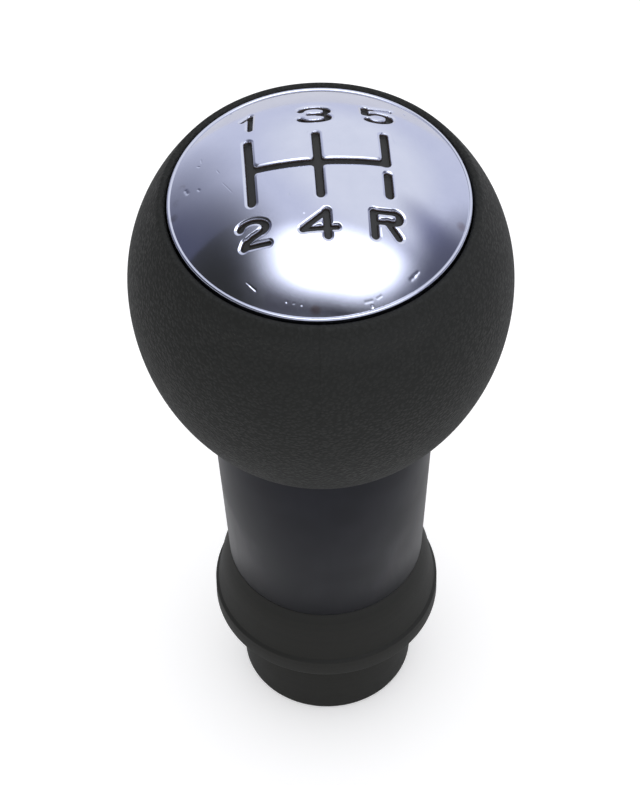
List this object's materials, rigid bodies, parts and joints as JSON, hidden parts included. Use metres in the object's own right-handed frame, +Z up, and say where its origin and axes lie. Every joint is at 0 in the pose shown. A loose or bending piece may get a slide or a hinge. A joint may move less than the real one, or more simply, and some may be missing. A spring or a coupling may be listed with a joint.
{
  "type": "gear shift knob",
  "caption": "Ball-shaped gear shift knob with a domed chrome cap, recessed shift gate, leather-grain skin, tapered neck, flared collar and lower ring.",
  "frame": {"origin": "centre of the lower ring's foot, where the knob stands", "axes": "+Z up along the knob's axis, out of the chrome cap; +Y forward in the car, towards gears 1, 3 and 5; +X to the right, towards fifth and reverse"},
  "size_m": [0.05, 0.05, 0.1028],
  "materials": {
    "chrome": "chrome plate, polished, with small pits and scratches",
    "core_plastic": "moulded, as from the tool",
    "grained_skin": "moulded leather grain, semi-matt",
    "weight_steel": "turned",
    "screw_steel": "zinc plated",
    "satin_plastic": "smooth satin",
    "matt_plastic": "matt, as moulded",
    "bush_plastic": "natural nylon",
    "damper_rubber": "plain"
  },
  "bodies": {
    "root": {"chrome_cap": "chrome", "core_crown": "core_plastic", "core_bowl": "core_plastic", "grip_skin": "grained_skin", "core_weight": "weight_steel", "weight_screws": "screw_steel", "neck_sleeve": "satin_plastic", "gaiter_collar": "matt_plastic", "base_ring": "matt_plastic", "lever_bush": "bush_plastic", "clamp_spring": "screw_steel", "damper_sleeve": "damper_rubber", "stop_pad": "damper_rubber"}
  },
  "joints": []
}
